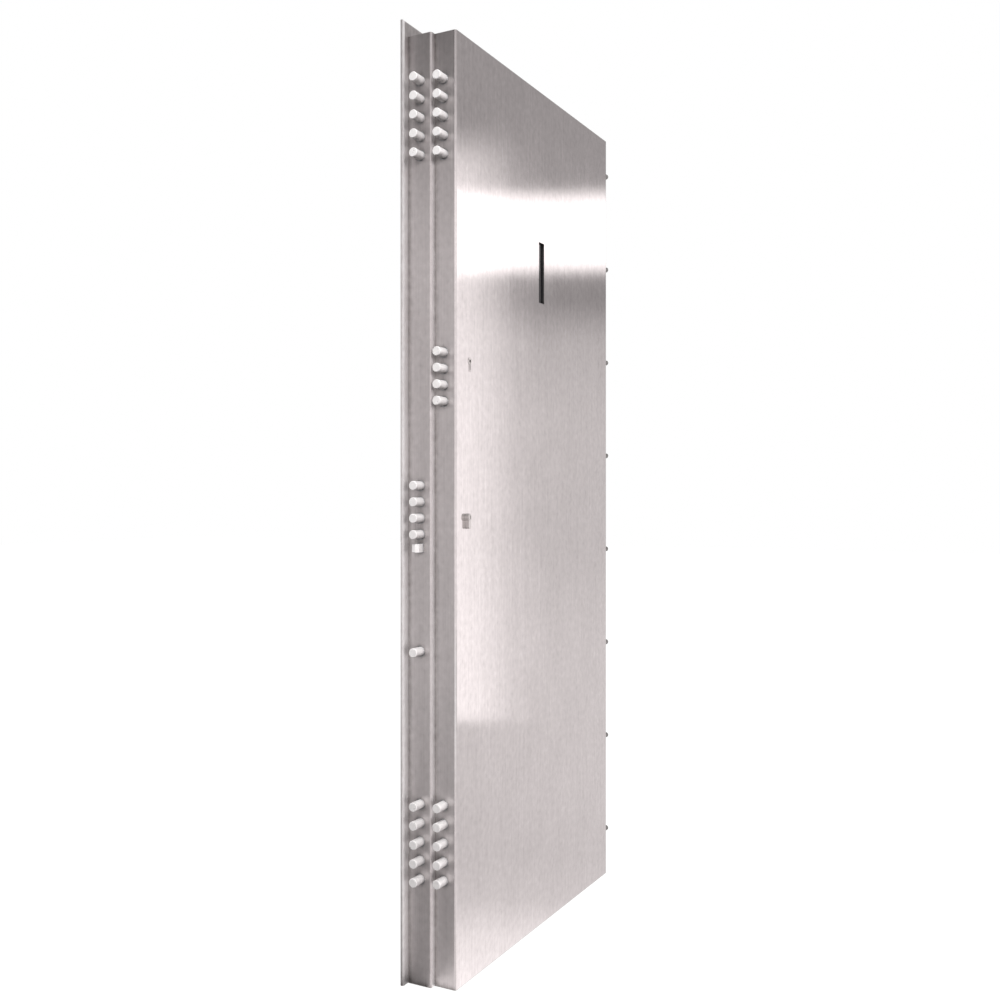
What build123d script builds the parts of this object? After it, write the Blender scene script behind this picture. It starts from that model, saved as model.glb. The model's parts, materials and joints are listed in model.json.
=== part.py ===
"""Steel security door leaf: a stepped, hollow leaf folded from sheet, with two rows of sliding bolts.

The leaf is drawn with X along its width from the lock edge to the hinge edge, Y from its front face to
its back, and Z up from its bottom edge. At the end every piece moves so that the origin is on the hinge
axis, at the seat under the lowest hinge knuckle. All sizes are in millimetres.
"""

import os

from build123d import *

# Leaf
LEAF_HEIGHT = 2050.0
FRONT_WIDTH = 838.0
FRONT_DEPTH = 52.5
REAR_DEPTH = 58.5
STEP = 14.0
SHEET = 2.0
BEND_RADIUS = 5.0
STEP_LIP = 36.0

# Flange, a flat hollow fold round the lock side, top and hinge side of the back sheet
FLANGE_REACH = 20.0
FLANGE_RISE = 31.0
FLANGE_THICKNESS = 9.0
FLANGE_RADIUS = 4.0
FLANGE_LIP = 26.0

# Channels that close the ends of the leaf
RAIL_LEG = 25.0

# Bolts
BOLT_RADIUS = 10.0
BOLT_THROW = 30.0
BOLT_TAIL = 12.0
BOLT_CHAMFER = 1.2
BOLT_CLEARANCE = 0.3
BOLT_HOLE_MARGIN = 2.6
FRONT_ROW_DEPTH = 31.0
REAR_ROW_DEPTH = 28.5
BAR_THICKNESS = 4.0
BAR_WIDTH = 16.0
END_BOLT_COUNT = 5
END_BOLT_PITCH = 40.4
LOCK_BOLT_COUNT = 4
LOCK_BOLT_PITCH = 35.0
TOP_BOLTS_DROP = 181.5
BOTTOM_BOLTS_HEIGHT = 310.5
FRONT_LOCK_HEIGHT = 1310.0
REAR_LOCK_HEIGHT = 1024.5
NIGHT_BOLT_HEIGHT = 720.0

# Latch, below the lowest bolt of the rear lock
LATCH_DROP = 29.0
LATCH_TALL = 18.0
LATCH_THICK = 14.0
LATCH_THROW = 22.0
LATCH_TAIL = 20.0
LATCH_BEVEL = 6.0
LATCH_ROUND = 0.8
LATCH_HOLE_MARGIN = 1.8

# Lock and bolt cases
CASE_DEPTH = 32.0
CASE_WALL = 2.5
CASE_MARGIN = 25.0
CASE_ROOM = 6.0
LOCK_BACKSET = 60.0
LOCK_CASE_BEHIND = 28.0

# Keyhole, above the middle of the front lock
KEYHOLE_RISE = 39.0
KEYHOLE_RADIUS = 8.0
KEYHOLE_SLOT = 8.0
KEYHOLE_DROP = 23.0

# Euro-profile cylinder, below the middle of the rear lock
CYLINDER_DROP = 16.0
CYLINDER_RADIUS = 8.5
CYLINDER_SLOT = 10.0
CYLINDER_TALL = 33.0
CYLINDER_PROUD_FRONT = 8.5
CYLINDER_PROUD_BACK = 3.0
CYLINDER_CLEARANCE = 0.3
PLUG_RADIUS = 6.5
PLUG_LENGTH = 30.0
PLUG_PROUD = 0.6
PLUG_CLEARANCE = 0.2
KEYWAY_WIDTH = 2.4
KEYWAY_TALL = 8.6
KEYWAY_DEPTH = 22.0

# Vision slit
SLIT_WIDTH = 30.0
SLIT_TALL = 149.0
SLIT_HEIGHT = 1605.5
LINER_WALL = 2.0
GLASS_THICKNESS = 22.0
GLASS_RECESS = 6.0
GLASS_CLEARANCE = 0.3

# Fixed pins on the hinge edge, evenly spaced between the lowest and the highest
PIN_COUNT = 8
PIN_BOTTOM_INSET = 116.5
PIN_TOP_INSET = 89.0
PIN_RADIUS = 7.0
PIN_LENGTH = 32.0
PIN_DEPTH = 14.0
PIN_CHAMFER = 2.0
PIN_TAIL_RADIUS = 4.0
PIN_TAIL_LENGTH = 12.0
PIN_CLEARANCE = 0.3

# Hinges, evenly spaced between the lowest seat and the highest
HINGE_COUNT = 3
HINGE_SEAT_HEIGHT = 230.0
HINGE_TOP_DROP = 280.0
KNUCKLE_RADIUS = 11.0
KNUCKLE_LENGTH = 66.0
CAP_THICKNESS = 4.0
CAP_CHAMFER = 1.5
HINGE_GAP = 2.0
HINGE_BORE_RADIUS = 7.05
HINGE_BORE_LEAD = 1.0
HINGE_LEAF_THICKNESS = 5.0
HINGE_LEAF_WIDTH = 42.0
HINGE_LEAF_INSET = 5.0

# Planes worked out from the sizes above
FLANGE_FRONT = FRONT_DEPTH + REAR_DEPTH
BACK = FLANGE_FRONT + FLANGE_THICKNESS
REAR_WEB = -STEP
FLANGE_EDGE = REAR_WEB - FLANGE_REACH
MIDDLE = FRONT_WIDTH / 2
FRONT_ROW = FRONT_ROW_DEPTH
REAR_ROW = FRONT_DEPTH + REAR_ROW_DEPTH
FRONT_LOCK_X = LOCK_BACKSET
REAR_LOCK_X = REAR_WEB + LOCK_BACKSET
TOP_BOLTS_HEIGHT = LEAF_HEIGHT - TOP_BOLTS_DROP
LATCH_HEIGHT = REAR_LOCK_HEIGHT - (LOCK_BOLT_COUNT - 1) / 2 * LOCK_BOLT_PITCH - LATCH_DROP
KEYHOLE_HEIGHT = FRONT_LOCK_HEIGHT + KEYHOLE_RISE
CYLINDER_HEIGHT = REAR_LOCK_HEIGHT - CYLINDER_DROP
INNER_BEND = BEND_RADIUS - SHEET
HINGE_AXIS_X = FRONT_WIDTH + STEP + FLANGE_REACH + HINGE_GAP + KNUCKLE_RADIUS
HINGE_AXIS_Y = BACK + HINGE_LEAF_THICKNESS / 2
TO_HINGE_AXIS = Pos(-HINGE_AXIS_X, -HINGE_AXIS_Y, -HINGE_SEAT_HEIGHT)


def block(low, high):
    """A box between two corners."""
    size = [b - a for a, b in zip(low, high)]
    middle = [(a + b) / 2 for a, b in zip(low, high)]
    return Pos(*middle) * Box(*size)


def round_slab(low, high, radius):
    """An upright slab between two corners, rounded along its two sides and its top."""
    slab = block(low, high)
    upright = slab.edges().filter_by(Axis.Z)
    level = slab.edges().filter_by(Axis.X).group_by(Axis.Z)[-1]
    return fillet(upright + level, radius)


def spread(middle, count, pitch):
    """Heights of a row of like things, evenly spaced about a middle height."""
    return [middle + (i - (count - 1) / 2) * pitch for i in range(count)]


def between(first, last, count):
    """Heights of a row of like things, evenly spaced from the first to the last."""
    return [first + i * (last - first) / (count - 1) for i in range(count)]


def rod_x(radius, start, end, y, z):
    """A round bar along X."""
    return Pos((start + end) / 2, y, z) * Rot(0, 90, 0) * Cylinder(radius, end - start)


def on_hinge_axis(shape, low, height):
    """A round shape of this height, standing on the hinge axis."""
    return Pos(HINGE_AXIS_X, HINGE_AXIS_Y, low + height / 2) * shape


def rectangle(low, high):
    """A flat rectangle in plan, between two corners."""
    width, depth = high[0] - low[0], high[1] - low[1]
    return Pos((low[0] + high[0]) / 2, (low[1] + high[1]) / 2) * Rectangle(width, depth)


def mirror_to_hinge_side(piece):
    return mirror(piece, about=Plane.YZ.offset(MIDDLE))


def keyhole_outline(radius, slot, drop):
    """A keyhole standing on its slot, drawn about the middle of its round part."""
    return Circle(radius) + Pos(0, -drop / 2) * Rectangle(slot, drop)


def through_leaf(outline, x, z, start, end):
    """An outline on the front face, carried through the leaf from one depth to another."""
    plane = Plane(origin=(x, start, z), x_dir=(1, 0, 0), z_dir=(0, -1, 0))
    return extrude(plane * outline, -(end - start))


def keyhole_cut():
    outline = keyhole_outline(KEYHOLE_RADIUS, KEYHOLE_SLOT, KEYHOLE_DROP)
    return through_leaf(outline, FRONT_LOCK_X, KEYHOLE_HEIGHT, -SHEET, BACK + SHEET)


def cylinder_outline(clearance=0.0):
    """The euro profile: a round top over a straight slot with a round foot."""
    foot = CYLINDER_SLOT / 2
    drop = CYLINDER_TALL - CYLINDER_RADIUS - foot
    slot = keyhole_outline(CYLINDER_RADIUS + clearance, CYLINDER_SLOT + 2 * clearance, drop)
    return slot + Pos(0, -drop) * Circle(foot + clearance)


def cylinder_cut():
    outline = cylinder_outline(CYLINDER_CLEARANCE)
    return through_leaf(outline, REAR_LOCK_X, CYLINDER_HEIGHT, -SHEET, BACK + SHEET)


def slit_cut():
    return through_leaf(Rectangle(SLIT_WIDTH, SLIT_TALL), MIDDLE, SLIT_HEIGHT, -SHEET, BACK + SHEET)


def bolt_heights():
    """Each group of bolts: its web, its row's depth in the leaf and the heights of its bolts."""
    top = spread(TOP_BOLTS_HEIGHT, END_BOLT_COUNT, END_BOLT_PITCH)
    bottom = spread(BOTTOM_BOLTS_HEIGHT, END_BOLT_COUNT, END_BOLT_PITCH)
    return {
        "front_top": (0.0, FRONT_ROW, top),
        "front_lock": (0.0, FRONT_ROW, spread(FRONT_LOCK_HEIGHT, LOCK_BOLT_COUNT, LOCK_BOLT_PITCH)),
        "front_bottom": (0.0, FRONT_ROW, bottom),
        "rear_top": (REAR_WEB, REAR_ROW, top),
        "rear_lock": (REAR_WEB, REAR_ROW, spread(REAR_LOCK_HEIGHT, LOCK_BOLT_COUNT, LOCK_BOLT_PITCH)),
        "rear_bottom": (REAR_WEB, REAR_ROW, bottom),
        "night": (REAR_WEB, REAR_ROW, [NIGHT_BOLT_HEIGHT]),
    }


GROUPS = bolt_heights()


def web_holes(row):
    """Clearance holes for every bolt of one row."""
    radius = BOLT_RADIUS + BOLT_HOLE_MARGIN
    holes = []
    for web, y, heights in GROUPS.values():
        if y == row:
            holes += [rod_x(radius, web - SHEET, web + 2 * SHEET, y, z) for z in heights]
    return holes


def front_sheet():
    """Front face with both sides folded back, cut for the slit, the two locks and the front row."""
    outer = rectangle((0, 0), (FRONT_WIDTH, FRONT_DEPTH))
    outer = fillet(outer.vertices().group_by(Axis.Y)[0], BEND_RADIUS)
    inner = rectangle((SHEET, SHEET), (FRONT_WIDTH - SHEET, FRONT_DEPTH + SHEET))
    inner = fillet(inner.vertices().group_by(Axis.Y)[0], INNER_BEND)
    tray = extrude(outer - inner, LEAF_HEIGHT)
    pin_radius = PIN_TAIL_RADIUS + PIN_CLEARANCE
    start, end = FRONT_WIDTH - 2 * SHEET, FRONT_WIDTH + SHEET
    pin_holes = [rod_x(pin_radius, start, end, PIN_DEPTH, z) for z in pin_heights()]
    return tray - [slit_cut(), keyhole_cut(), cylinder_cut()] - web_holes(FRONT_ROW) - pin_holes


def rear_edge():
    """Rear web of the lock side with the step lip that carries the front sheet's edge."""
    far = (REAR_WEB + STEP_LIP, FLANGE_FRONT)
    outer = rectangle((REAR_WEB, FRONT_DEPTH), far)
    corner = outer.vertices().sort_by(Axis.X)[:2].sort_by(Axis.Y)[0]
    outer = fillet(corner, BEND_RADIUS)
    inner = rectangle((REAR_WEB + SHEET, FRONT_DEPTH + SHEET), (far[0] + SHEET, far[1] + SHEET))
    corner = inner.vertices().sort_by(Axis.X)[:2].sort_by(Axis.Y)[0]
    inner = fillet(corner, INNER_BEND)
    return extrude(outer - inner, LEAF_HEIGHT)


def lock_rear_edge():
    half_tall = LATCH_TALL / 2 + LATCH_HOLE_MARGIN
    half_thick = LATCH_THICK / 2 + LATCH_HOLE_MARGIN
    latch_hole = block(
        (REAR_WEB - SHEET, REAR_ROW - half_thick, LATCH_HEIGHT - half_tall),
        (REAR_WEB + 2 * SHEET, REAR_ROW + half_thick, LATCH_HEIGHT + half_tall),
    )
    return rear_edge() - web_holes(REAR_ROW) - latch_hole


def outer_sheet():
    """Back sheet, folded forward and in again round three sides into a hollow flange."""
    top = LEAF_HEIGHT + FLANGE_RISE
    far_edge = FRONT_WIDTH - FLANGE_EDGE
    sheet = round_slab((FLANGE_EDGE, FLANGE_FRONT, 0), (far_edge, BACK, top), FLANGE_RADIUS)
    hollow = round_slab(
        (FLANGE_EDGE + SHEET, FLANGE_FRONT + SHEET, -SHEET),
        (far_edge - SHEET, BACK - SHEET, top - SHEET),
        FLANGE_RADIUS - SHEET,
    )
    lip = REAR_WEB + FLANGE_LIP
    window = block(
        (lip, FLANGE_FRONT - SHEET, -SHEET),
        (FRONT_WIDTH - lip, FLANGE_FRONT + 2 * SHEET, LEAF_HEIGHT - FLANGE_LIP),
    )
    return sheet - [hollow, window, slit_cut(), keyhole_cut(), cylinder_cut()]


def channel(plan, legs, top):
    """A channel lying across the leaf: its web is the plan, its legs point into the leaf."""
    low = LEAF_HEIGHT - SHEET if top else 0.0
    leg_low = LEAF_HEIGHT - RAIL_LEG if top else 0.0
    leg_high = LEAF_HEIGHT if top else RAIL_LEG
    rail = Pos(0, 0, low) * extrude(plan, SHEET)
    for start, end in legs:
        rail += block((*start, leg_low), (*end, leg_high))
    return rail


def rail_outline(low, high):
    """Plan of a channel's web, with its front corners rounded to sit in the folds."""
    outline = rectangle(low, high)
    return fillet(outline.vertices().group_by(Axis.Y)[0], INNER_BEND)


def front_rail(top):
    low, high = (SHEET, SHEET), (FRONT_WIDTH - SHEET, FRONT_DEPTH)
    lip = REAR_WEB + STEP_LIP
    tongue_end = FRONT_DEPTH + SHEET
    plan = rail_outline(low, high) + rectangle((lip, FRONT_DEPTH), (FRONT_WIDTH - lip, tongue_end))
    left, right = BEND_RADIUS, FRONT_WIDTH - BEND_RADIUS
    legs = [
        ((left, SHEET), (right, 2 * SHEET)),
        ((left, FRONT_DEPTH - SHEET), (right, FRONT_DEPTH)),
    ]
    return channel(plan, legs, top)


def rear_rail(top):
    front = FRONT_DEPTH + SHEET
    inset = REAR_WEB + SHEET
    plan = rail_outline((inset, front), (FRONT_WIDTH - inset, FLANGE_FRONT))
    lip = REAR_WEB + FLANGE_LIP
    left, right = REAR_WEB + BEND_RADIUS, FRONT_WIDTH - REAR_WEB - BEND_RADIUS
    legs = [((left, front), (right, front + SHEET))]
    if top:
        legs.append(((left, FLANGE_FRONT - SHEET), (right, FLANGE_FRONT)))
    else:
        back = BACK - SHEET
        plan += rectangle((lip, FLANGE_FRONT), (FRONT_WIDTH - lip, back))
        legs.append(((lip, back - SHEET), (FRONT_WIDTH - lip, back)))
    return channel(plan, legs, top)


def case(group, length, extra_low=0.0):
    """Closed case behind a web, with a guide bore for each bolt in the wall on the web."""
    web, y, heights = GROUPS[group]
    front = web + SHEET
    bottom = min(heights) - CASE_MARGIN - extra_low
    top = max(heights) + CASE_MARGIN
    half = CASE_DEPTH / 2
    shell = block((front, y - half, bottom), (front + length, y + half, top))
    shell -= block(
        (front + CASE_WALL, y - half + CASE_WALL, bottom + CASE_WALL),
        (front + length - CASE_WALL, y + half - CASE_WALL, top - CASE_WALL),
    )
    bore = BOLT_RADIUS + BOLT_CLEARANCE
    return shell - [rod_x(bore, front - SHEET, front + 2 * CASE_WALL, y, z) for z in heights]


def bolt_case(group):
    length = BOLT_TAIL + BAR_THICKNESS + BOLT_THROW + CASE_ROOM + CASE_WALL - SHEET
    return case(group, length)


def lock_case_length():
    return LOCK_BACKSET + LOCK_CASE_BEHIND - SHEET


def front_lock_case():
    return case("front_lock", lock_case_length()) - keyhole_cut()


def rear_lock_case():
    lowest = min(GROUPS["rear_lock"][2])
    shell = case("rear_lock", lock_case_length(), lowest - LATCH_HEIGHT)
    half_tall = LATCH_TALL / 2 + BOLT_CLEARANCE
    half_thick = LATCH_THICK / 2 + BOLT_CLEARANCE
    front = REAR_WEB + SHEET
    latch_hole = block(
        (front - SHEET, REAR_ROW - half_thick, LATCH_HEIGHT - half_tall),
        (front + 2 * CASE_WALL, REAR_ROW + half_thick, LATCH_HEIGHT + half_tall),
    )
    return shell - latch_hole - cylinder_cut()


def bolts(group):
    """A group's bolts, joined by the bar that draws them in."""
    web, y, heights = GROUPS[group]
    tail = web + BOLT_TAIL
    bar = block(
        (tail, y - BAR_WIDTH / 2, min(heights) - BAR_WIDTH / 2),
        (tail + BAR_THICKNESS, y + BAR_WIDTH / 2, max(heights) + BAR_WIDTH / 2),
    )
    for z in heights:
        bolt = rod_x(BOLT_RADIUS, web - BOLT_THROW, tail, y, z)
        tip = bolt.edges().filter_by(GeomType.CIRCLE).group_by(Axis.X)[0]
        bar += chamfer(tip, BOLT_CHAMFER)
    return bar


def latch_bolt():
    """Square latch, bevelled on the side that meets the strike as the leaf closes."""
    front, back = REAR_ROW - LATCH_THICK / 2, REAR_ROW + LATCH_THICK / 2
    tip, tail = REAR_WEB - LATCH_THROW, REAR_WEB + LATCH_TAIL
    bar = rectangle((tip, front), (tail, back))
    corner = bar.vertices().group_by(Axis.X)[0].sort_by(Axis.Y)[0]
    bar = chamfer(corner, LATCH_BEVEL)
    low = LATCH_HEIGHT - LATCH_TALL / 2
    latch = Pos(0, 0, low) * extrude(bar, LATCH_TALL)
    nose = latch.faces().filter_by(Axis.X).sort_by(Axis.X)[0]
    return fillet(nose.edges(), LATCH_ROUND)


def lock_cylinder():
    """Euro-profile body through the leaf, bored at both ends for its plugs."""
    start, end = -CYLINDER_PROUD_FRONT, BACK + CYLINDER_PROUD_BACK
    body = through_leaf(cylinder_outline(), REAR_LOCK_X, CYLINDER_HEIGHT, start, end)
    bore = Circle(PLUG_RADIUS + PLUG_CLEARANCE)
    for low, high in ((start, start + PLUG_LENGTH), (end - PLUG_LENGTH, end)):
        body -= through_leaf(bore, REAR_LOCK_X, CYLINDER_HEIGHT, low, high)
    return body


def cylinder_plugs():
    """The two round plugs that take the key, each with its keyway."""
    start, end = -CYLINDER_PROUD_FRONT - PLUG_PROUD, BACK + CYLINDER_PROUD_BACK + PLUG_PROUD
    length = PLUG_LENGTH + PLUG_PROUD
    keyway = Rectangle(KEYWAY_WIDTH, KEYWAY_TALL)
    plugs = []
    for low, high, way_low, way_high in (
        (start, start + length, start, start + KEYWAY_DEPTH),
        (end - length, end, end - KEYWAY_DEPTH, end),
    ):
        plug = through_leaf(Circle(PLUG_RADIUS), REAR_LOCK_X, CYLINDER_HEIGHT, low, high)
        plugs.append(plug - through_leaf(keyway, REAR_LOCK_X, CYLINDER_HEIGHT, way_low, way_high))
    return Compound(children=plugs)


def vision_slit_liner():
    outer = Rectangle(SLIT_WIDTH + 2 * LINER_WALL, SLIT_TALL + 2 * LINER_WALL)
    tube = outer - Rectangle(SLIT_WIDTH, SLIT_TALL)
    return through_leaf(tube, MIDDLE, SLIT_HEIGHT, SHEET, BACK - SHEET)


def vision_slit_glass():
    pane = Rectangle(SLIT_WIDTH - 2 * GLASS_CLEARANCE, SLIT_TALL - 2 * GLASS_CLEARANCE)
    return through_leaf(pane, MIDDLE, SLIT_HEIGHT, GLASS_RECESS, GLASS_RECESS + GLASS_THICKNESS)


def pin_heights():
    return between(PIN_BOTTOM_INSET, LEAF_HEIGHT - PIN_TOP_INSET, PIN_COUNT)


def hinge_side_pins():
    """Fixed pins that hold the closed leaf in its frame, each shouldered on the hinge web."""
    pins = []
    for z in pin_heights():
        pin = rod_x(PIN_RADIUS, FRONT_WIDTH, FRONT_WIDTH + PIN_LENGTH, PIN_DEPTH, z)
        tip = pin.edges().filter_by(GeomType.CIRCLE).group_by(Axis.X)[-1]
        pin = chamfer(tip, PIN_CHAMFER)
        tail = rod_x(PIN_TAIL_RADIUS, FRONT_WIDTH - PIN_TAIL_LENGTH, FRONT_WIDTH, PIN_DEPTH, z)
        pins.append(pin + tail)
    return Compound(children=pins)


def hinge_seats():
    return between(HINGE_SEAT_HEIGHT, LEAF_HEIGHT - HINGE_TOP_DROP, HINGE_COUNT)


def hinge(seat):
    """Leaf half of a barrel hinge: a knuckle, bored for the pin, and its plate on the back sheet."""
    knuckle = on_hinge_axis(Cylinder(KNUCKLE_RADIUS, KNUCKLE_LENGTH), seat, KNUCKLE_LENGTH)
    plate = block(
        (HINGE_AXIS_X - HINGE_LEAF_WIDTH, BACK, seat + HINGE_LEAF_INSET),
        (HINGE_AXIS_X, BACK + HINGE_LEAF_THICKNESS, seat + KNUCKLE_LENGTH - HINGE_LEAF_INSET),
    )
    bore = on_hinge_axis(Cylinder(HINGE_BORE_RADIUS, KNUCKLE_LENGTH), seat, KNUCKLE_LENGTH)
    mouth = Cone(HINGE_BORE_RADIUS + HINGE_BORE_LEAD, HINGE_BORE_RADIUS, HINGE_BORE_LEAD)
    lead = on_hinge_axis(mouth, seat, HINGE_BORE_LEAD)
    return knuckle + plate - bore - lead


def hinge_caps():
    """Caps that close the knuckles' bores at the top."""
    caps = []
    for seat in hinge_seats():
        disc = Cylinder(KNUCKLE_RADIUS, CAP_THICKNESS)
        cap = on_hinge_axis(disc, seat + KNUCKLE_LENGTH, CAP_THICKNESS)
        crown = cap.edges().filter_by(GeomType.CIRCLE).group_by(Axis.Z)[-1]
        caps.append(chamfer(crown, CAP_CHAMFER))
    return Compound(children=caps)


def pieces():
    nodes = {
        "front_sheet": front_sheet(),
        "lock_rear_edge": lock_rear_edge(),
        "hinge_rear_edge": mirror_to_hinge_side(rear_edge()),
        "outer_sheet": outer_sheet(),
        "top_front_rail": front_rail(top=True),
        "top_rear_rail": rear_rail(top=True),
        "bottom_front_rail": front_rail(top=False),
        "bottom_rear_rail": rear_rail(top=False),
        "vision_slit_liner": vision_slit_liner(),
        "vision_slit_glass": vision_slit_glass(),
        "lock_cylinder": lock_cylinder(),
        "cylinder_plugs": cylinder_plugs(),
        "front_lock_case": front_lock_case(),
        "rear_lock_case": rear_lock_case(),
        "night_bolt_case": bolt_case("night"),
        "night_bolt": bolts("night"),
        "latch_bolt": latch_bolt(),
        "hinge_side_pins": hinge_side_pins(),
        "hinge_caps": hinge_caps(),
    }
    for group in ("front_top", "front_bottom", "rear_top", "rear_bottom"):
        nodes[f"{group}_bolt_case"] = bolt_case(group)
    for group in ("front_top", "front_lock", "front_bottom", "rear_top", "rear_lock", "rear_bottom"):
        nodes[f"{group}_bolts"] = bolts(group)
    for name, seat in zip(("lower_hinge", "middle_hinge", "upper_hinge"), hinge_seats()):
        nodes[name] = hinge(seat)
    return nodes


os.makedirs("parts", exist_ok=True)
for name, piece in pieces().items():
    export_step(TO_HINGE_AXIS * piece, f"parts/{name}.step")
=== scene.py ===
"""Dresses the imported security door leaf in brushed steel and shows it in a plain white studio.

Lengths are in metres, in the part's own frame: X runs from the lock edge to the hinge edge, Y from the
front face to the flanged back and Z up. The origin is on the hinge axis, under the lowest knuckle.
"""

import json
import math

import bmesh
import bpy
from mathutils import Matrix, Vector


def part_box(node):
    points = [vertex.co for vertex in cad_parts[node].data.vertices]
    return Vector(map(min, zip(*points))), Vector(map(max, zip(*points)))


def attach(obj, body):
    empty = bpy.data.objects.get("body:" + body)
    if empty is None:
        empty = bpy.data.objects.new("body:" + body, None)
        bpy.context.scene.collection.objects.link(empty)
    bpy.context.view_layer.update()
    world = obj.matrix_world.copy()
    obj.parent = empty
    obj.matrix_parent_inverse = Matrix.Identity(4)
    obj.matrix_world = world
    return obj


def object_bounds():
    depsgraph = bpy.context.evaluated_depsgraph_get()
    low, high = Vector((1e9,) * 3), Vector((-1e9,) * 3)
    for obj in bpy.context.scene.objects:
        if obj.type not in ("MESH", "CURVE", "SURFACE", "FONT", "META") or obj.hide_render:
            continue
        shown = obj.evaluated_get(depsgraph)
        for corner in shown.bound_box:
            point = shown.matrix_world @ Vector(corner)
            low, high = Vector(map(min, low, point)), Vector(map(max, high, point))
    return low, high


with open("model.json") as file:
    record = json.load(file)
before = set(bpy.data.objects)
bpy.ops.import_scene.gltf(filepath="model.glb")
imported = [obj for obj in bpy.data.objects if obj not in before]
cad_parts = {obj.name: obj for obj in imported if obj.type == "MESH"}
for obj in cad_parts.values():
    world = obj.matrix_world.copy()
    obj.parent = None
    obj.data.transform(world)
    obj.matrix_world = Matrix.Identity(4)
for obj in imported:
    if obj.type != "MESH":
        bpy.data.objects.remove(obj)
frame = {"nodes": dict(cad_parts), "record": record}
cad_low, cad_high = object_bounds()

# Camera, fitted to the straight edges of the leaf
EYE = Vector((-2.9016, -1.2988, 0.8192))
EYE_YAW = math.radians(27.95)
FOCAL_PIXELS = 1094.87
HORIZON_PIXEL = 498.67
PICTURE_PIXELS = 1000.0
SENSOR_WIDTH = 36.0

# Sheet: its tones and their range, the colours of its painted shade and painted light, and how rough it is
STEEL_DARK = (0.572, 0.543, 0.542)
STEEL_LIGHT = (0.641, 0.609, 0.608)
STEEL_PAINTED_SHADE = (0.21, 0.195, 0.19)
STEEL_PAINTED_LIGHT = (0.94, 0.93, 0.93)
STEEL_TONES = (0.43, 0.57)
STEEL_ROUGHNESS = (0.105, 0.130)

# Stepped edges: distances from the faces between which their dull finish sets in and ends, and painted
# shade in the webs' corners
BEHIND_FRONT = (0.001, 0.006)
BEFORE_BACK = (0.006, 0.002)
RECESS_DULLNESS = 0.30
CORNER_SHADE_REACH = 0.016
CORNER_SHADE_SHARE = 0.44
CORNER_SHADE_OPENNESS = (0.5, 0.95)
CORNER_SHADE_SIDEWAYS = (0.5, 0.9)

# Flange: painted highlight on the hem along its edge, and painted light on the face inside it, which turns
# to painted shade at its top
HEM_WIDTH = 0.0055
HEM_SOFTNESS = 0.001
HEM_PAINTED_LIGHT = 0.40
HEM_DULLNESS = 0.6
FLANGE_FACE_PAINTED_LIGHT = 0.45
FLANGE_FACE_FACING = (-0.99, -0.90)
FLANGE_TOP_FADE = 0.10
FLANGE_TOP_PAINTED_SHADE = -0.7

# Bolts: their tones and their range, and the painted shade on their undersides
BOLT_DARK = (0.92, 0.90, 0.895)
BOLT_LIGHT = (0.98, 0.965, 0.96)
BOLT_UNDER_SHADE = (0.16, 0.152, 0.15)
BOLT_TONES = (0.55, 0.75)
UNDER_SHADE_SHARE = 0.50
UNDER_SHADE_FACING = (-0.95, -0.20)


def add_node(tree, kind, **settings):
    node = tree.nodes.new(kind)
    for key, value in settings.items():
        setattr(node, key, value)
    return node


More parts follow.
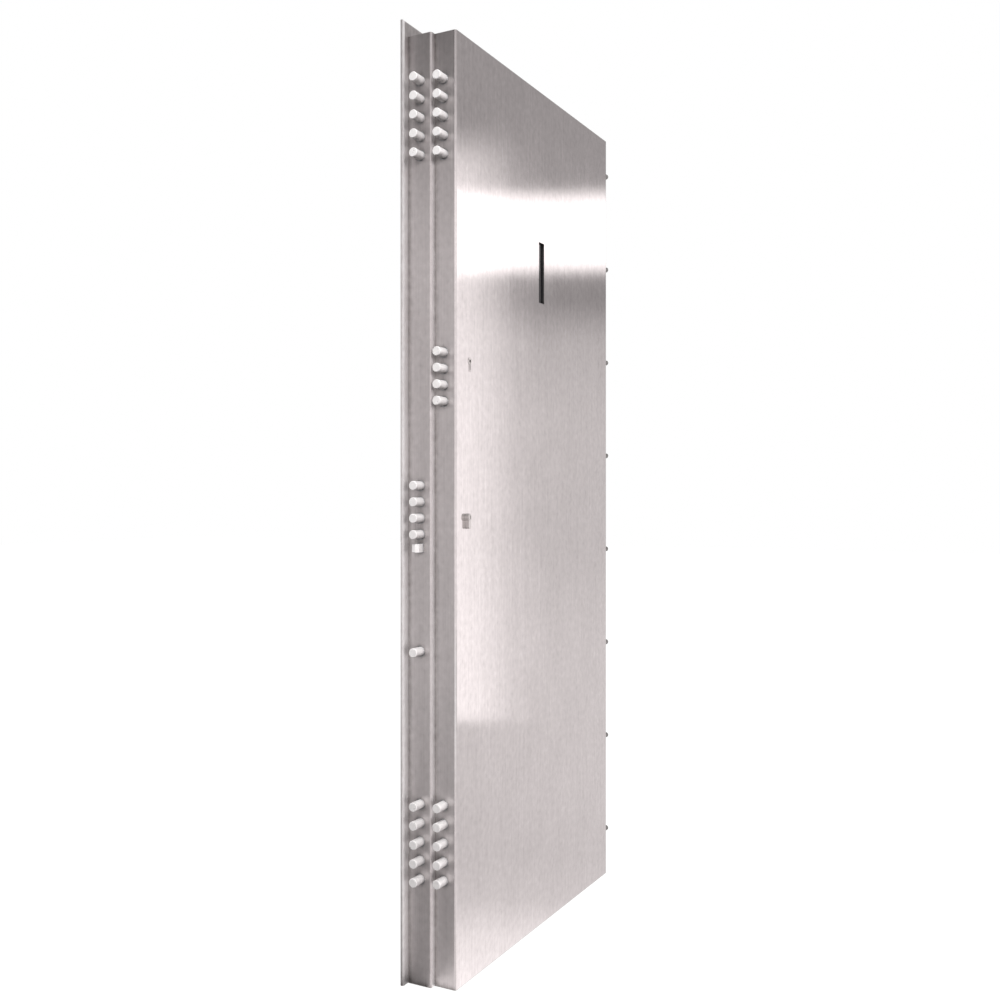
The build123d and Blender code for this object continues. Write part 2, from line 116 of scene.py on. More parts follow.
class Shader:
    """A node material with its Principled shader, and short ways to add nodes to it."""

    def __init__(self, name):
        self.material = bpy.data.materials.new(name)
        self.material.use_nodes = True
        self.tree = self.material.node_tree
        self.surface = self.tree.nodes["Principled BSDF"]

    def add(self, kind, **settings):
        return add_node(self.tree, kind, **settings)

    def join(self, source, target):
        self.tree.links.new(source, target)

    def fixed(self, **values):
        """Sets values that are the same all over the surface on the shader's own sockets."""
        for key, value in values.items():
            socket = key.replace("_", " ").title().replace("Ior", "IOR")
            self.surface.inputs[socket].default_value = value

    def noise(self, scale, detail=2.0, offset=(0.0, 0.0, 0.0)):
        """Noise from 0 to 1 in the part's own frame, with so many grains to the metre along X, Y and Z."""
        coordinates = self.add("ShaderNodeTexCoord")
        mapping = self.add("ShaderNodeMapping")
        mapping.inputs["Scale"].default_value = scale
        mapping.inputs["Location"].default_value = offset
        texture = self.add("ShaderNodeTexNoise")
        texture.inputs["Scale"].default_value = 1.0
        texture.inputs["Detail"].default_value = detail
        self.join(coordinates.outputs["Object"], mapping.inputs["Vector"])
        self.join(mapping.outputs["Vector"], texture.inputs["Vector"])
        return texture.outputs["Fac"]

    def maths(self, operation, first, second=0.0):
        node = self.add("ShaderNodeMath", operation=operation)
        for socket, value in zip(node.inputs, (first, second)):
            if isinstance(value, float):
                socket.default_value = value
            else:
                self.join(value, socket)
        return node.outputs["Value"]

    def average(self, parts):
        """Weighted sum of several sources."""
        total = None
        for source, weight in parts:
            term = self.maths("MULTIPLY", source, weight)
            total = term if total is None else self.maths("ADD", total, term)
        return total

    def span(self, source, low, high, start=0.3, end=0.7):
        """Maps a range of the source, or a noise's middle range, to a range of values."""
        node = self.add("ShaderNodeMapRange")
        node.inputs["From Min"].default_value = start
        node.inputs["From Max"].default_value = end
        node.inputs["To Min"].default_value = low
        node.inputs["To Max"].default_value = high
        self.join(source, node.inputs["Value"])
        return node.outputs["Result"]

    def tones(self, source, dark, light, start=0.3, end=0.7, outer=()):
        """Maps a range of the source to colours between two tones, and 0 and 1 to outer ones if given."""
        ramp = self.add("ShaderNodeValToRGB")
        elements = ramp.color_ramp.elements
        elements[0].position = start
        elements[0].color = (*dark, 1.0)
        elements[1].position = end
        elements[1].color = (*light, 1.0)
        for place, colour in enumerate(outer):
            elements.new(float(place)).color = (*colour, 1.0)
        self.join(source, ramp.inputs["Fac"])
        return ramp.outputs["Color"]

    def openness(self, reach):
        """1 on open surfaces, lower in inner corners and beside what stands close."""
        node = self.add("ShaderNodeAmbientOcclusion")
        node.inputs["Distance"].default_value = reach
        return node.outputs["AO"]

    def along(self, axis, kind="Object"):
        """One axis of a place, or of a face's direction with "Normal", in the part's own frame."""
        coordinates = self.add("ShaderNodeTexCoord")
        split = self.add("ShaderNodeSeparateXYZ")
        self.join(coordinates.outputs[kind], split.inputs["Vector"])
        return split.outputs[axis]

    def colour(self, source):
        self.join(source, self.surface.inputs["Base Color"])

    def roughness(self, source):
        self.join(source, self.surface.inputs["Roughness"])

    def relief(self, source, strength, depth):
        bump = self.add("ShaderNodeBump")
        bump.inputs["Strength"].default_value = strength
        bump.inputs["Distance"].default_value = depth
        self.join(source, bump.inputs["Height"])
        self.join(bump.outputs["Normal"], self.surface.inputs["Normal"])

    def grain_along(self, x, y, z):
        """Lays the grain of an anisotropic finish along one direction of the part's frame."""
        direction = self.add("ShaderNodeCombineXYZ")
        for socket, value in zip(direction.inputs, (x, y, z)):
            socket.default_value = value
        self.join(direction.outputs["Vector"], self.surface.inputs["Tangent"])


def recess_mask(shader):
    """1 on the stepped edges, between the two faces, and 0 on the faces."""
    front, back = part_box("front_sheet")[0].y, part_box("outer_sheet")[1].y
    depth = shader.along("Y")
    behind_front = shader.span(depth, 0.0, 1.0, *(front + gap for gap in BEHIND_FRONT))
    before_back = shader.span(depth, 1.0, 0.0, *(back - gap for gap in BEFORE_BACK))
    return shader.maths("MULTIPLY", behind_front, before_back)


def painted_corner_shade(shader):
    """Painted shade in the corners of the webs and round what stands out of them."""
    sideways = shader.maths("ABSOLUTE", shader.along("X", "Normal"))
    close = shader.span(shader.openness(CORNER_SHADE_REACH), CORNER_SHADE_SHARE, 0.0, *CORNER_SHADE_OPENNESS)
    return shader.maths("MULTIPLY", close, shader.span(sideways, 0.0, 1.0, *CORNER_SHADE_SIDEWAYS))


def flange_painted_light(shader):
    """Painted highlight on the flange's hem, and painted light on the face inside it, which turns to
    painted shade near the top.
    """
    left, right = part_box("outer_sheet")[0].x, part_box("outer_sheet")[1].x
    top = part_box("front_sheet")[1].z
    offset = shader.maths("SUBTRACT", shader.along("X"), (left + right) / 2.0)
    from_middle = shader.maths("ABSOLUTE", offset)
    hem_start = (right - left) / 2.0 - HEM_WIDTH
    hem_full = hem_start + HEM_SOFTNESS
    # painted highlight on the hem, and painted light on the face inside it
    hem = shader.span(from_middle, 0.0, HEM_PAINTED_LIGHT, hem_start, hem_full)
    before_hem = shader.span(from_middle, FLANGE_FACE_PAINTED_LIGHT, 0.0, hem_start, hem_full)
    facing = shader.span(shader.along("Y", "Normal"), 1.0, 0.0, *FLANGE_FACE_FACING)
    # turns the painted light into painted shade near the top of the leaf
    below_top = shader.span(shader.along("Z"), 1.0, FLANGE_TOP_PAINTED_SHADE, top - FLANGE_TOP_FADE, top)
    flange_face_painted_light = shader.maths("MULTIPLY", shader.maths("MULTIPLY", facing, below_top), before_hem)
    return hem, flange_face_painted_light


def brushed_steel():
    """Stainless sheet, brushed from top to bottom, with duller stepped edges, painted shade in the webs'
    corners, and painted light and shade on the flange.
    """
    shader = Shader("brushed_steel")
    hairlines = shader.noise((1000.0, 1000.0, 6.0), detail=3.0)
    streaks = shader.noise((260.0, 260.0, 1.8), detail=3.0, offset=(3.1, 7.7, 0.4))
    mottling = shader.noise((85.0, 85.0, 70.0), detail=3.0, offset=(9.3, 1.2, 5.0))
    clouds = shader.noise((9.0, 9.0, 7.0), detail=4.0, offset=(2.0, 4.0, 8.0))
    tone = shader.average([(hairlines, 0.35), (streaks, 0.15), (mottling, 0.35), (clouds, 0.15)])
    recess = recess_mask(shader)
    hem, flange_face_painted_light = flange_painted_light(shader)
    # painted highlight on the hem and painted light on the flange's face, only on the stepped edges
    bright = shader.maths("MULTIPLY", shader.maths("ADD", flange_face_painted_light, hem), recess)
    # painted shade in the webs' corners is taken off the tone, and painted light on the flange is added
    shade = shader.maths("ADD", shader.maths("SUBTRACT", tone, painted_corner_shade(shader)), bright)
    outer = (STEEL_PAINTED_SHADE, STEEL_PAINTED_LIGHT)
    shader.colour(shader.tones(shade, STEEL_DARK, STEEL_LIGHT, *STEEL_TONES, outer))
    wear = shader.span(shader.average([(streaks, 0.4), (clouds, 0.6)]), *STEEL_ROUGHNESS)
    dull = shader.average([(recess, RECESS_DULLNESS), (hem, HEM_DULLNESS)])
    shader.roughness(shader.maths("ADD", wear, dull))
    shader.fixed(metallic=1.0, anisotropic=0.7, anisotropic_rotation=0.25)
    shader.grain_along(0.03, 0.05, 1.0)
    shader.relief(shader.average([(hairlines, 0.8), (streaks, 0.2)]), 0.03, 0.0003)
    return shader.material


def polished_bar():
    """Bright round bar with faint turning marks round it, and painted shade on its underside."""
    shader = Shader("polished_bar")
    rings = shader.noise((2600.0, 30.0, 30.0), detail=2.0)
    clouds = shader.noise((90.0, 160.0, 160.0), detail=3.0, offset=(5.0, 1.0, 3.0))
    # painted shade on the underside, darker the more the surface faces down
    painted_under_shade = shader.span(shader.along("Z", "Normal"), UNDER_SHADE_SHARE, 0.0, *UNDER_SHADE_FACING)
    shade = shader.maths("SUBTRACT", shader.span(clouds, *BOLT_TONES), painted_under_shade)
    shader.colour(shader.tones(shade, BOLT_DARK, BOLT_LIGHT, *BOLT_TONES, (BOLT_UNDER_SHADE,)))
    shader.roughness(shader.span(shader.average([(rings, 0.5), (clouds, 0.5)]), 0.26, 0.36))
    shader.fixed(metallic=0.3)
    shader.relief(rings, 0.08, 0.0002)
    return shader.material


def blackened_steel():
    """Dark pins, worn a little lighter in places."""
    shader = Shader("blackened_steel")
    rings = shader.noise((1500.0, 40.0, 40.0), detail=2.0)
    wear = shader.noise((130.0, 200.0, 200.0), detail=4.0, offset=(2.0, 9.0, 5.0))
    shader.colour(shader.tones(wear, (0.13, 0.127, 0.124), (0.27, 0.264, 0.258)))
    shader.roughness(shader.span(shader.average([(rings, 0.5), (wear, 0.5)]), 0.36, 0.52))
    shader.fixed(metallic=1.0)
    shader.relief(rings, 0.08, 0.0002)
    return shader.material


def turned_steel():
    """Hinge steel: turned knuckles and a rolled plate, a little duller than the sheet."""
    shader = Shader("turned_steel")
    rings = shader.noise((25.0, 25.0, 2200.0), detail=2.0)
    scale = shader.noise((70.0, 70.0, 70.0), detail=5.0, offset=(1.0, 6.0, 2.0))
    tone = shader.average([(rings, 0.45), (scale, 0.55)])
    shader.colour(shader.tones(tone, (0.50, 0.49, 0.485), (0.63, 0.615, 0.61)))
    shader.roughness(shader.span(scale, 0.26, 0.40))
    shader.fixed(metallic=1.0)
    shader.relief(tone, 0.12, 0.0003)
    return shader.material


def zinc_plate():
    """Zinc-plated cases: bluish crystals with a satin skin."""
    shader = Shader("zinc_plate")
    crystals = shader.noise((120.0, 120.0, 120.0), detail=3.0)
    skin = shader.noise((900.0, 900.0, 900.0), detail=2.0, offset=(4.0, 2.0, 1.0))
    shader.colour(shader.tones(crystals, (0.38, 0.385, 0.395), (0.48, 0.485, 0.495)))
    shader.roughness(shader.span(crystals, 0.32, 0.46))
    shader.fixed(metallic=1.0)
    shader.relief(skin, 0.1, 0.0002)
    return shader.material


def black_paint():
    """Matt black powder coat with its fine orange peel."""
    shader = Shader("black_paint")
    peel = shader.noise((1400.0, 1400.0, 1400.0), detail=2.0)
    dust = shader.noise((60.0, 60.0, 25.0), detail=4.0, offset=(6.0, 3.0, 9.0))
    shader.colour(shader.tones(dust, (0.012, 0.012, 0.013), (0.026, 0.025, 0.025)))
    shader.roughness(shader.span(dust, 0.48, 0.62))
    shader.relief(peel, 0.2, 0.0002)
    return shader.material


def dark_glass():
    """Laminated security glass, tinted almost black, with a few wiping marks."""
    shader = Shader("dark_glass")
    wipes = shader.noise((40.0, 40.0, 160.0), detail=5.0)
    tint = shader.noise((12.0, 12.0, 6.0), detail=2.0, offset=(1.0, 2.0, 3.0))
    shader.colour(shader.tones(tint, (0.030, 0.031, 0.034), (0.042, 0.043, 0.046)))
    shader.roughness(shader.span(wipes, 0.03, 0.09))
    shader.fixed(transmission_weight=0.6, ior=1.52)
    return shader.material


def satin_nickel():
    """Satin nickel of the lock cylinder, lapped on its faces."""
    shader = Shader("satin_nickel")
    lapping = shader.noise((1800.0, 60.0, 300.0), detail=3.0)
    clouds = shader.noise((150.0, 150.0, 150.0), detail=3.0, offset=(8.0, 1.0, 4.0))
    tone = shader.average([(lapping, 0.5), (clouds, 0.5)])
    shader.colour(shader.tones(tone, (0.50, 0.475, 0.465), (0.60, 0.575, 0.565)))
    shader.roughness(shader.span(tone, 0.26, 0.38))
    shader.fixed(metallic=1.0)
    shader.relief(lapping, 0.08, 0.0002)
    return shader.material


FINISHES = {
    "brushed_sheet": brushed_steel(),
    "bolt_steel": polished_bar(),
    "pin_steel": blackened_steel(),
    "case_steel": zinc_plate(),
    "slit_black": black_paint(),
    "slit_glass": dark_glass(),
    "cylinder_nickel": satin_nickel(),
    "hinge_steel": turned_steel(),
}


def dress_nodes():
    """Gives every CAD node the finish of its material slot."""
    for subpart in frame["record"]["subparts"]:
        mesh = frame["nodes"][subpart["node"]].data
        mesh.materials.clear()
        mesh.materials.append(FINISHES[subpart["material_slot"]])


dress_nodes()


def new_object(name, mesh):
    thing = bpy.data.objects.new(name, mesh)
    bpy.context.scene.collection.objects.link(thing)
    return thing


# Weld beads round the hinge plates, on the back
WELD_LEG = 0.0035
WELD_STEP = 0.0006
WELD_RIPPLE = 0.0024
WELD_RIPPLE_SHARE = 0.16
WELD_END = 0.004
WELD_END_SHARE = 0.04
WELD_ARC_POINTS = 7
WELD_SINK = 0.0004
WELD_MERGE = 0.00002
PLATE_WIDTH = 0.042
PLATE_INSET = 0.005
PLATE_REACH = 0.014


def bead_route(low, high, far, near):
    """Points and outward directions, in X and Z, round three edges of a plate."""
    corners = [(near, high), (far, high), (far, low), (near, low)]
    outward = [(0.0, 1.0), (-1.0, 0.0), (0.0, -1.0)]
    stations = []
    for index, normal in enumerate(outward):
        start, end = Vector(corners[index]), Vector(corners[index + 1])
        count = max(2, round((end - start).length / WELD_STEP))
        stations += [(start.lerp(end, i / count), Vector(normal)) for i in range(count + 1)]
        if index < len(outward) - 1:
            turned = Vector(outward[index + 1])
            steps = round(math.pi / 2 * WELD_LEG / WELD_STEP)
            for i in range(1, steps):
                angle = math.pi / 2 * i / steps
                stations.append((end, Vector(normal) * math.cos(angle) + turned * math.sin(angle)))
    return stations


def weld_bead(name, low, high, far, near, surface):
    """A rippled fillet weld in the corner between a plate's edge and the sheet it lies on."""
    stations = bead_route(low, high, far, near)
    tips = [point + outward * WELD_LEG for point, outward in stations]
    travel = [0.0]
    for before, after in zip(tips, tips[1:]):
        travel.append(travel[-1] + (after - before).length)
    form = bmesh.new()
    rings = []
    for (point, outward), gone in zip(stations, travel):
        ripple = 1.0 - WELD_RIPPLE_SHARE * abs(math.sin(math.pi * gone / WELD_RIPPLE))
        to_end = min(gone, travel[-1] - gone)
        taper = math.sqrt(max(WELD_END_SHARE, min(1.0, to_end / WELD_END)))
        leg = WELD_LEG * ripple * taper
        section = [(-WELD_SINK, -WELD_SINK)]
        for i in range(WELD_ARC_POINTS):
            angle = math.pi / 2 * i / (WELD_ARC_POINTS - 1)
            section.append((leg * math.cos(angle), leg * math.sin(angle)))
        ring = []
        for out, up in section:
            place = point + outward * out
            ring.append(form.verts.new((place.x, surface + up, place.y)))
        rings.append(ring)
    for one, other in zip(rings, rings[1:]):
        size = len(one)
        for i in range(size):
            after = (i + 1) % size
            form.faces.new((one[i], one[after], other[after], other[i]))
    form.faces.new(rings[0])
    form.faces.new(list(reversed(rings[-1])))
    bmesh.ops.remove_doubles(form, verts=form.verts, dist=WELD_MERGE)
    bmesh.ops.recalc_face_normals(form, faces=form.faces)
    for face in form.faces:
        face.smooth = True
    mesh = bpy.data.meshes.new(name)
    form.to_mesh(mesh)
    form.free()
    mesh.materials.append(FINISHES["hinge_steel"])
    bead = new_object(name, mesh)
    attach(bead, "leaf")


def hinge_welds():
    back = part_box("outer_sheet")[1].y
    for name in ("lower_hinge", "middle_hinge", "upper_hinge"):
        low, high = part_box(name)
        weld_bead(
            name + "_weld", low.z + PLATE_INSET, high.z - PLATE_INSET, -PLATE_WIDTH, -PLATE_REACH, back
        )


hinge_welds()


# Bushes that line the keyhole, front and back: radius of the round part, width of the slot, and its foot
BUSH_OUTER = (0.0079, 0.0078, 0.0229)
BUSH_INNER = (0.0032, 0.0024, 0.0200)
BUSH_PROUD = 0.0010
BUSH_DEPTH = 0.012
BUSH_EDGE = 0.0004
BUSH_ARC_STEPS = 40


def keyhole_outline(shape, grown=0.0):
    """Points of a keyhole in X and Z about the middle of its round part, grown by a margin all round."""
    radius, half, foot = shape[0] + grown, shape[1] / 2.0 + grown, -(shape[2] + grown)
    turn = math.asin(half / radius)
    start, end = turn - math.pi / 2.0, 1.5 * math.pi - turn
    angles = [start + (end - start) * i / BUSH_ARC_STEPS for i in range(BUSH_ARC_STEPS + 1)]
    return [(radius * math.cos(a), radius * math.sin(a)) for a in angles] + [(-half, foot), (half, foot)]


def keyhole_bush(name, x, z, surface, outward):
    """A steel lining, a little proud of the sheet, with the key's own narrow hole through it."""
    face = surface + outward * BUSH_PROUD
    shoulder = face - outward * BUSH_EDGE
    deep = surface - outward * BUSH_DEPTH
    outer, inner = keyhole_outline(BUSH_OUTER), keyhole_outline(BUSH_INNER)
    sections = [
        (outer, deep), (outer, shoulder), (keyhole_outline(BUSH_OUTER, -BUSH_EDGE), face),
        (keyhole_outline(BUSH_INNER, BUSH_EDGE), face), (inner, shoulder), (inner, deep),
    ]
    form = bmesh.new()
    rings = [[form.verts.new((x + u, y, z + v)) for u, v in outline] for outline, y in sections]
    for one, other in zip(rings, rings[1:] + rings[:1]):
        for i in range(len(one)):
            form.faces.new((one[i - 1], one[i], other[i], other[i - 1]))
    bmesh.ops.recalc_face_normals(form, faces=form.faces)
    mesh = bpy.data.meshes.new(name)
    form.to_mesh(mesh)
    form.free()
    mesh.materials.append(FINISHES["cylinder_nickel"])
    bush = new_object(name, mesh)
    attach(bush, "leaf")


def keyhole_bushes():
    boxes = {opening["name"]: opening["box_m"] for opening in frame["record"]["physics"]["openings"]}
    low, high = boxes["front_keyhole_round"]
    x, z = (low[0] + high[0]) / 2.0, (low[2] + high[2]) / 2.0
    keyhole_bush("front_keyhole_bush", x, z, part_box("front_sheet")[0].y, -1.0)
    keyhole_bush("back_keyhole_bush", x, z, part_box("outer_sheet")[1].y, 1.0)


keyhole_bushes()

# Studio
FLOOR_HALF = 20.0
FLOOR_GLOW = 0.92
FLOOR_SHADE = 0.16
FLOOR_BOUNCE = 0.15
WORLD_LEVEL = 1.4
WALL_CENTRE = (-0.45, 0.0)
WALL_RADIUS = 6.0
WALL_TOP = 4.9
WALL_CELLS = (360, 140)
GLOW_TINT = (1.045, 1.0, 1.0)

# Brightness of the studio wall by height in metres: pale below and darker above
LOW_WALL_LEVELS = ((-0.23, 0.88), (0.40, 0.79), (1.45, 0.79), (1.75, 0.74), (2.05, 0.69))
WALL_LEVELS = (*LOW_WALL_LEVELS, (2.40, 0.52), (3.28, 0.46))

# Panels that stand before the wall: degrees round it from +X, half width, soft edge, and levels by height
PANELS = (
    (-27.0, 15.0, 5.0, (
        *LOW_WALL_LEVELS, (2.38, 0.37), (2.57, 0.37), (2.67, 1.90), (3.16, 1.90), (3.28, 0.46),
    )),
    (-62.0, 19.0, 5.0, ((2.20, 1.25), (3.30, 1.15), (4.20, 0.65))),
    (-129.0, 51.0, 6.0, (
        (1.55, 1.05), (2.35, 1.05), (2.65, 1.30), (3.20, 1.30), (3.40, 0.90), (3.90, 0.60),
    )),
    (-152.0, 12.0, 4.0, ((2.20, 1.35), (2.45, 1.60), (3.10, 1.60), (3.40, 1.20), (3.90, 0.85))),
    (108.0, 16.0, 5.0, ((3.10, 1.0), (3.90, 0.45))),
    (150.0, 26.0, 6.0, (
        (2.20, 0.53), (2.45, 1.10), (2.90, 1.10), (3.10, 0.48), (3.40, 0.15), (3.90, 0.0),
    )),
)


def smooth(low, high, value):
    """0 below the low end, 1 above the high end, and a smooth rise between."""
    share = min(1.0, max(0.0, (value - low) / (high - low)))
    return share * share * (3.0 - 2.0 * share)


def level_at(place, levels):
    """Brightness at a place along a list of places and levels, straight between them."""
    for (start, low), (end, high) in zip(levels, levels[1:]):
        if place < end:
            return low + (high - low) * max(0.0, (place - start) / (end - start))
    return levels[-1][1]


def wall_level(azimuth, height):
    level = level_at(height, WALL_LEVELS)
    for middle, half, soft, levels in PANELS:
        away = abs((azimuth - middle + 180.0) % 360.0 - 180.0)
        cover = 1.0 - smooth(half - soft, half + soft, away)
        level += (level_at(height, levels) - level) * cover
    return level


def glowing(name, attribute, veil):
    """A material that glows by a mesh's colour attribute; a veil also lets through what is behind it."""
    shader = Shader(name)
    nodes = shader.tree.nodes
    nodes.remove(shader.surface)
    glow = shader.add("ShaderNodeEmission")
    source = shader.add("ShaderNodeAttribute", attribute_name=attribute)
    shader.join(source.outputs["Color"], glow.inputs["Color"])
    shown = glow.outputs["Emission"]
    if veil:
        clear = shader.add("ShaderNodeBsdfTransparent")
        both = shader.add("ShaderNodeAddShader")
        shader.join(shown, both.inputs[0])
        shader.join(clear.outputs["BSDF"], both.inputs[1])
        shown = both.outputs["Shader"]
    shader.join(shown, nodes["Material Output"].inputs["Surface"])
    return shader.material


def glowing_grid(name, cells, place, level, lights_floor=False, veil=False):
    """A studio card that only mirrors see: a grid whose places and levels come from two functions."""
    form = bmesh.new()
    glow = form.verts.layers.float_color.new("glow")
    columns, rows = cells
    grid = []
    for i in range(columns + 1):
        line = []
        for j in range(rows + 1):
            point = place(i / columns, j / rows)
            vertex = form.verts.new(point)
            value = level(*point)
            vertex[glow] = (*(value * share for share in GLOW_TINT), 1.0)
            line.append(vertex)
        grid.append(line)
    for i in range(columns):
        for j in range(rows):
            form.faces.new((grid[i][j], grid[i][j + 1], grid[i + 1][j + 1], grid[i + 1][j]))
    mesh = bpy.data.meshes.new(name)
    form.to_mesh(mesh)
    form.free()
    mesh.materials.append(glowing(name, "glow", veil))
    card = new_object(name, mesh)
    card.visible_camera = False
    card.visible_shadow = False
    card.visible_diffuse = lights_floor


def studio_wall():
    """A round wall of soft light, far from the leaf."""
    low = cad_low.z

    def place(u, v):
        angle = 2.0 * math.pi * u
        x = WALL_CENTRE[0] + WALL_RADIUS * math.cos(angle)
        y = WALL_CENTRE[1] + WALL_RADIUS * math.sin(angle)
        return x, y, low + (WALL_TOP - low) * v

    def level(x, y, z):
        return wall_level(math.degrees(math.atan2(y - WALL_CENTRE[1], x - WALL_CENTRE[0])), z)

    glowing_grid("studio_wall", WALL_CELLS, place, level, lights_floor=True)


# Grey card high over the wall before the lock edge
HIGH_CARD_DEGREES = (100.0, 205.0)
HIGH_CARD_TOP = 9.0
HIGH_CARD_LEVEL = 0.04
HIGH_CARD_CELLS = (40, 4)


def high_card():
    start, end = HIGH_CARD_DEGREES

    def place(u, v):
        angle = math.radians(start + (end - start) * u)
        x = WALL_CENTRE[0] + WALL_RADIUS * math.cos(angle)
        y = WALL_CENTRE[1] + WALL_RADIUS * math.sin(angle)
        return x, y, WALL_TOP + (HIGH_CARD_TOP - WALL_TOP) * v

    glowing_grid("high_card", HIGH_CARD_CELLS, place, lambda x, y, z: HIGH_CARD_LEVEL)


# Upright light beside the leaf, placed from the camera's mirror image in the front face
MIRRORED_EYE = Vector((EYE.x, 2.0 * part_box("front_sheet")[0].y - EYE.y, EYE.z))
SIDE_LIGHT_AWAY = 5.16
SIDE_LIGHT_DEGREES = (-37.0, -26.6)
SIDE_LIGHT_EDGE = -30.0
SIDE_LIGHT_TOP = 2.6
SIDE_LIGHT_LEVELS = ((1.50, 0.70), (1.76, 1.00), (2.32, 0.80), (2.41, 0.68), (2.51, 0.23), (2.58, 0.0))
SIDE_LIGHT_CELLS = (40, 80)


def side_light():
    start, end = SIDE_LIGHT_DEGREES
    low = cad_low.z

    def place(u, v):
        angle = math.radians(start + (end - start) * u)
        x = MIRRORED_EYE.x + SIDE_LIGHT_AWAY * math.cos(angle)
        y = MIRRORED_EYE.y + SIDE_LIGHT_AWAY * math.sin(angle)
        return x, y, low + (SIDE_LIGHT_TOP - low) * v

    def level(x, y, z):
        angle = math.degrees(math.atan2(y - MIRRORED_EYE.y, x - MIRRORED_EYE.x))
        across = 1.0 - smooth(SIDE_LIGHT_EDGE, end, angle)
        return across * level_at(z, SIDE_LIGHT_LEVELS)

    glowing_grid("side_light", SIDE_LIGHT_CELLS, place, level, veil=True)


# Cards on the floor: their edges, and levels by distance in metres
CARD_LIFT = 0.001
CARD_CELLS = (150, 150)
LOCK_WEB = -0.886
LOCK_CARD = ((-5.5, LOCK_WEB), (-0.06, 4.0))
LOCK_CARD_LEVELS = ((0.45, 0.24), (0.73, 0.20), (1.06, 0.26), (1.55, 0.39), (2.10, 0.52))
CORNER_CARD = ((-3.0, LOCK_WEB), (-1.8, -0.06))
CORNER_CARD_LEVELS = ((0.5, 1.0), (1.5, 1.0))
FRONT_CARD = ((LOCK_WEB, 5.6), (-6.0, -0.1225))
FRONT_CARD_LEVELS = (
    (2.40, 1.45), (2.50, 1.35), (2.60, 1.28), (2.73, 1.10),
    (2.86, 0.93), (3.18, 0.86), (4.10, 0.90), (7.50, 0.88),
)


def floor_card(name, edges, level):
    """A card that lies on the floor between two edges along X and two along Y."""
    (left, right), (front, back) = edges

    def place(u, v):
        return left + (right - left) * u, front + (back - front) * v, cad_low.z + CARD_LIFT

    glowing_grid(name, CARD_CELLS, place, level)


def floor_cards():
    """Grey before the lock edge, white before the corner and, before the face, brighter near the camera."""

    def from_web(levels):
        return lambda x, y, z: level_at(LOCK_WEB - x, levels)

    def from_mirrored_eye(x, y, z):
        ahead = (x - MIRRORED_EYE.x) * math.cos(EYE_YAW)
        ahead += (MIRRORED_EYE.y - y) * math.sin(EYE_YAW)
        return level_at(ahead, FRONT_CARD_LEVELS)

    floor_card("lock_card", LOCK_CARD, from_web(LOCK_CARD_LEVELS))
    floor_card("corner_card", CORNER_CARD, from_web(CORNER_CARD_LEVELS))
    floor_card("front_card", FRONT_CARD, from_mirrored_eye)


def seen_directly_or_mirrored(tree):
    """1 for rays from the camera, from metal and through glass, or else 0."""
    path = add_node(tree, "ShaderNodeLightPath")
    total = path.outputs["Is Camera Ray"]
    for name in ("Is Glossy Ray", "Is Transmission Ray"):
        node = add_node(tree, "ShaderNodeMath", operation="MAXIMUM")
        tree.links.new(total, node.inputs[0])
        tree.links.new(path.outputs[name], node.inputs[1])
        total = node.outputs["Value"]
    return total


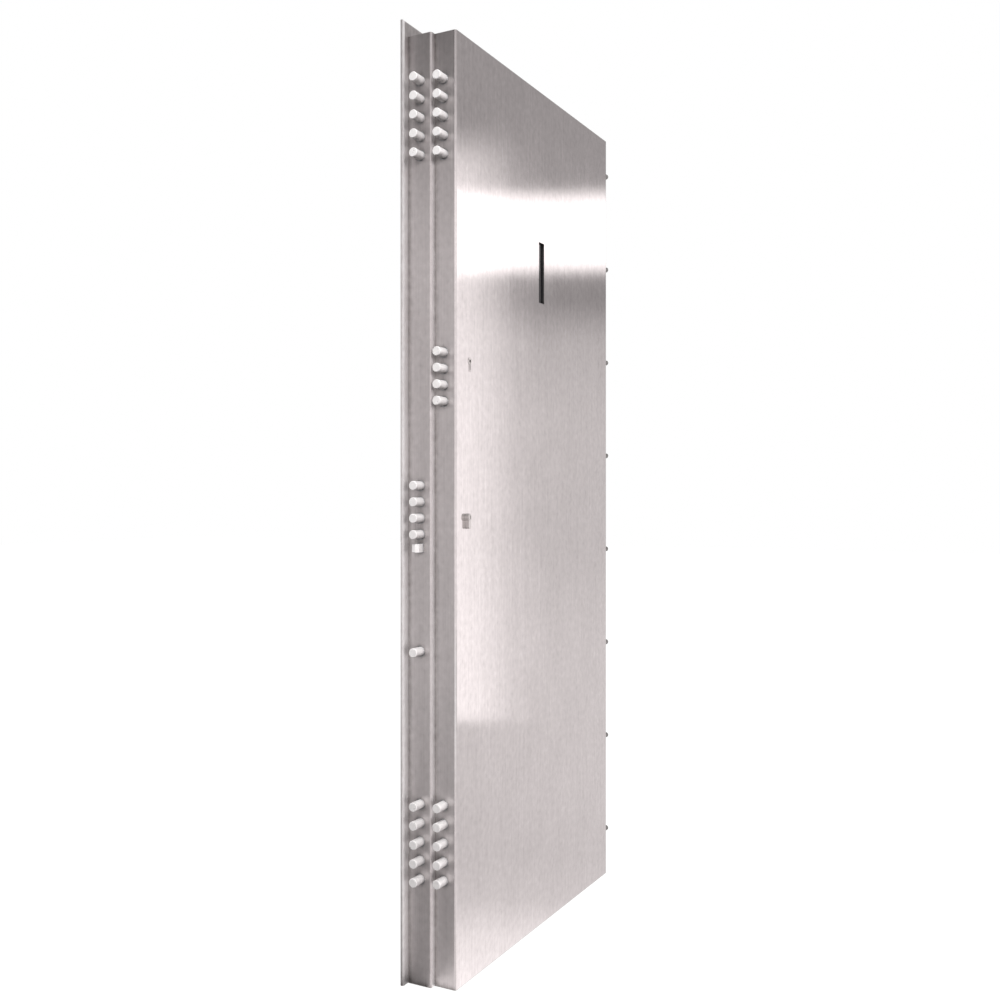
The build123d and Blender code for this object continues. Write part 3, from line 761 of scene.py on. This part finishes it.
def floor():
    """Plain white floor at the foot of the leaf, which keeps a faint shadow."""
    shader = Shader("floor")
    nodes = shader.tree.nodes
    nodes.remove(shader.surface)
    glow = shader.add("ShaderNodeEmission")
    glow.inputs["Strength"].default_value = FLOOR_GLOW
    shade = shader.add("ShaderNodeBsdfDiffuse")
    shade.inputs["Color"].default_value = (FLOOR_SHADE, FLOOR_SHADE, FLOOR_SHADE, 1.0)
    shown = shader.add("ShaderNodeAddShader")
    shader.join(glow.outputs["Emission"], shown.inputs[0])
    shader.join(shade.outputs["BSDF"], shown.inputs[1])
    plain = shader.add("ShaderNodeBsdfDiffuse")
    plain.inputs["Color"].default_value = (FLOOR_BOUNCE, FLOOR_BOUNCE, FLOOR_BOUNCE, 1.0)
    mix = shader.add("ShaderNodeMixShader")
    shader.join(seen_directly_or_mirrored(shader.tree), mix.inputs["Fac"])
    shader.join(plain.outputs["BSDF"], mix.inputs[1])
    shader.join(shown.outputs["Shader"], mix.inputs[2])
    shader.join(mix.outputs["Shader"], nodes["Material Output"].inputs["Surface"])
    mesh = bpy.data.meshes.new("floor")
    form = bmesh.new()
    bmesh.ops.create_grid(form, x_segments=1, y_segments=1, size=FLOOR_HALF)
    bmesh.ops.translate(form, verts=form.verts, vec=(*WALL_CENTRE, cad_low.z))
    form.to_mesh(mesh)
    form.free()
    mesh.materials.append(shader.material)
    new_object("floor", mesh)


def white_world():
    """White where it is seen, and a plain level of light elsewhere."""
    world = bpy.data.worlds.new("white_studio")
    bpy.context.scene.world = world
    world.use_nodes = True
    tree = world.node_tree
    background = tree.nodes["Background"]
    background.inputs["Color"].default_value = (1.0, 1.0, 1.0, 1.0)
    strength = add_node(tree, "ShaderNodeMapRange")
    strength.inputs["To Min"].default_value = WORLD_LEVEL
    strength.inputs["To Max"].default_value = 1.0
    tree.links.new(seen_directly_or_mirrored(tree), strength.inputs["Value"])
    tree.links.new(strength.outputs["Result"], background.inputs["Strength"])


# Soft lamp, up and to the left of the camera
LAMP_AIM = Vector((-0.9, 0.0, 0.8))
LAMP_WAY = Vector((-0.45, -0.35, 0.82))
LAMP_AWAY = 3.6
LAMP_SIZE = 0.9
LAMP_POWER = 65.0


def key_lamp():
    light = bpy.data.lights.new("key_lamp", "AREA")
    light.energy = LAMP_POWER
    light.size = LAMP_SIZE
    lamp = new_object("key_lamp", light)
    lamp.location = LAMP_AIM + LAMP_WAY.normalized() * LAMP_AWAY
    lamp.rotation_euler = LAMP_WAY.to_track_quat("Z", "Y").to_euler()
    lamp.visible_glossy = False


def camera():
    lens = bpy.data.cameras.new("camera")
    lens.sensor_width = SENSOR_WIDTH
    lens.lens = FOCAL_PIXELS * SENSOR_WIDTH / PICTURE_PIXELS
    lens.shift_y = (HORIZON_PIXEL - PICTURE_PIXELS / 2) / PICTURE_PIXELS
    eye = new_object("camera", lens)
    eye.location = EYE
    eye.rotation_euler = (math.pi / 2, 0.0, EYE_YAW - math.pi / 2)
    bpy.context.scene.camera = eye


studio_wall()
high_card()
side_light()
floor_cards()
floor()
white_world()
key_lamp()
camera()
bpy.context.scene.view_settings.view_transform = "Standard"
